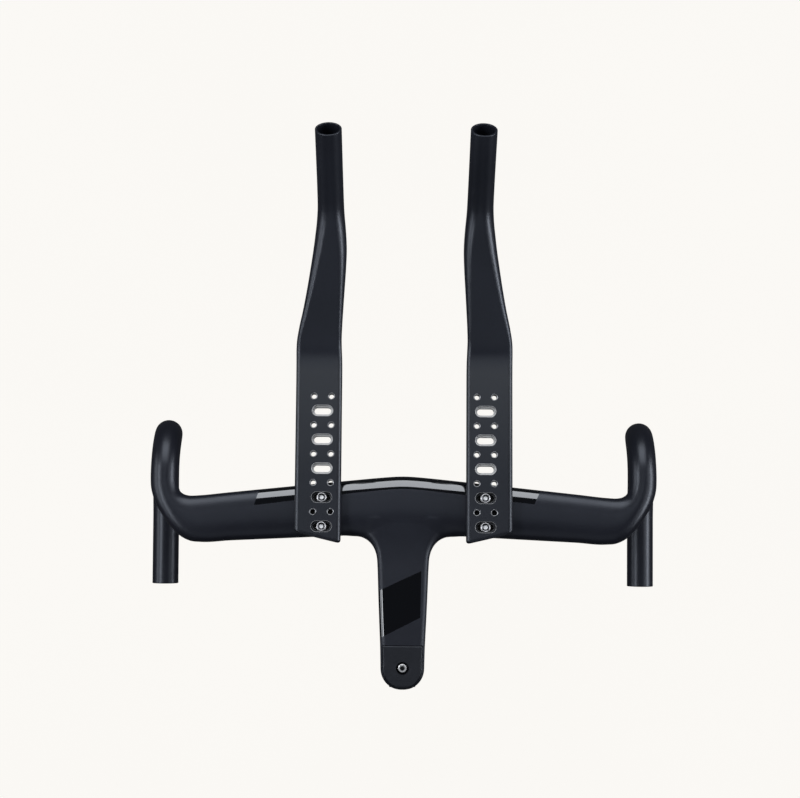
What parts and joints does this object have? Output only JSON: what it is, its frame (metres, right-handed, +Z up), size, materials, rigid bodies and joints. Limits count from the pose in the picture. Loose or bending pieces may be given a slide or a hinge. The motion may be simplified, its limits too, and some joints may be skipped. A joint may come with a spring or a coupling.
{
  "type": "aero handlebar with extensions",
  "caption": "One-piece aero road handlebar and stem with hooked drops, and two drilled flat plates on top that rise forward into round extension tips.",
  "frame": {"origin": "on the steerer axis, at the bottom face of the steerer clamp", "axes": "+X to the rider's right, +Y forward, +Z up, square to the flat extension plates"},
  "size_m": [0.466, 0.4698, 0.264],
  "materials": {
    "carbon_bar": "satin carbon composite with gloss fields",
    "carbon_extension": "satin carbon composite",
    "cap": "satin black",
    "cap_bolt": "bright",
    "steel_bolt": "grey steel",
    "washer": "grey steel",
    "insert": "anodised",
    "shim": "moulded black"
  },
  "bodies": {
    "root": {"bar_stem": "carbon_bar", "stem_top_cap": "cap", "top_cap_bolt": "cap_bolt", "upper_pinch_bolt": "steel_bolt", "lower_pinch_bolt": "steel_bolt", "upper_pinch_nut": "steel_bolt", "lower_pinch_nut": "steel_bolt", "left_extension": "carbon_extension", "right_extension": "carbon_extension", "left_rear_bolt": "steel_bolt", "left_front_bolt": "steel_bolt", "right_rear_bolt": "steel_bolt", "right_front_bolt": "steel_bolt", "left_rear_washer": "washer", "left_front_washer": "washer", "right_rear_washer": "washer", "right_front_washer": "washer", "left_rear_insert": "insert", "left_front_insert": "insert", "right_rear_insert": "insert", "right_front_insert": "insert", "left_armrest_inserts": "insert", "right_armrest_inserts": "insert", "left_shim": "shim", "right_shim": "shim"}
  },
  "joints": []
}
